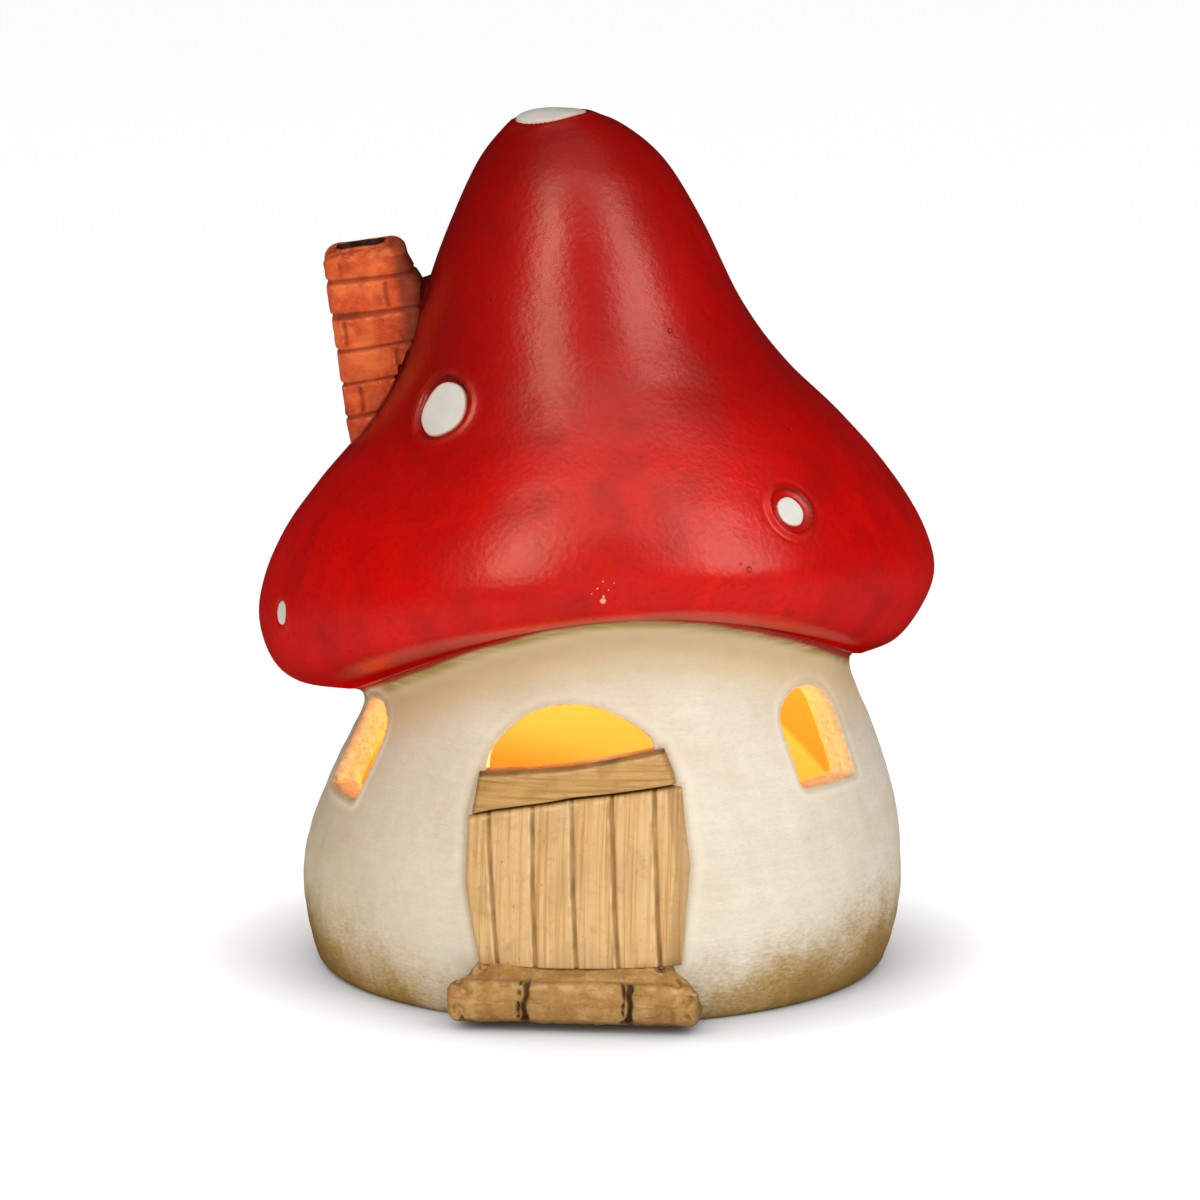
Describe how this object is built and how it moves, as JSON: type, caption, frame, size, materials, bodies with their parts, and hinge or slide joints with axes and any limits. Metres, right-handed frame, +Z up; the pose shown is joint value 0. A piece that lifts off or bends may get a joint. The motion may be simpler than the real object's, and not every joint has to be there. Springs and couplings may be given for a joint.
{
  "type": "toadstool house ornament",
  "caption": "Hollow fired-clay toadstool house with a lift-off red cap, brick chimney, plank door and open windows, lit from inside by a battery tealight.",
  "frame": {"origin": "centre of the foot's underside on the floor", "axes": "+Z up through the house, -Y toward the door, +X to the viewer's right of the door"},
  "size_m": [0.1781, 0.1697, 0.2276],
  "materials": {
    "cream_clay": "hand-painted satin, ochre wash at the foot",
    "red_glaze": "satin red paint over clay, darker at the edges",
    "spot_white": "satin white paint",
    "brick_clay": "matt terracotta, dry-brushed",
    "plank_clay": "matt painted wood grain",
    "board_clay": "matt painted wood grain",
    "step_clay": "matt, brown wash",
    "light_plastic": "moulded",
    "flame_plastic": "translucent, moulded",
    "lamp": "clear resin",
    "cell_steel": "bright",
    "contact_metal": "tinned strip",
    "switch_black": "moulded"
  },
  "bodies": {
    "house": {"house_wall": "cream_clay", "door_planks": "plank_clay", "cross_board": "board_clay", "doorstep": "step_clay"},
    "cap": {"cap_shell": "red_glaze", "chimney": "brick_clay", "spot_left_front": "spot_white", "spot_right_front": "spot_white", "spot_far_left": "spot_white", "spot_back_left": "spot_white", "spot_back": "spot_white", "spot_back_right": "spot_white", "spot_crown": "spot_white"},
    "tealight": {"tealight_case": "light_plastic", "tealight_chassis": "light_plastic", "tealight_flame": "flame_plastic", "led": "lamp", "coin_cell": "cell_steel", "contact_positive": "contact_metal", "contact_negative": "contact_metal"},
    "cover": {"battery_cover": "light_plastic"},
    "switch": {"switch_knob": "switch_black"}
  },
  "joints": [
    {"name": "cap_lift", "type": "slide", "parent": "house", "child": "cap", "axis": [0, 0, 1], "range_m": [0, 0.12]},
    {"name": "light_lift", "type": "slide", "parent": "house", "child": "tealight", "axis": [0, 0, 1], "range_m": [0, 0.1]},
    {"name": "cover_turn", "type": "hinge", "parent": "tealight", "child": "cover", "pos_m": [0, 0, 0.0108], "axis": [0, 0, -1], "range_deg": [0, 30]},
    {"name": "switch_slide", "type": "slide", "parent": "tealight", "child": "switch", "axis": [1, 0, 0], "range_m": [0, 0.0024]}
  ]
}
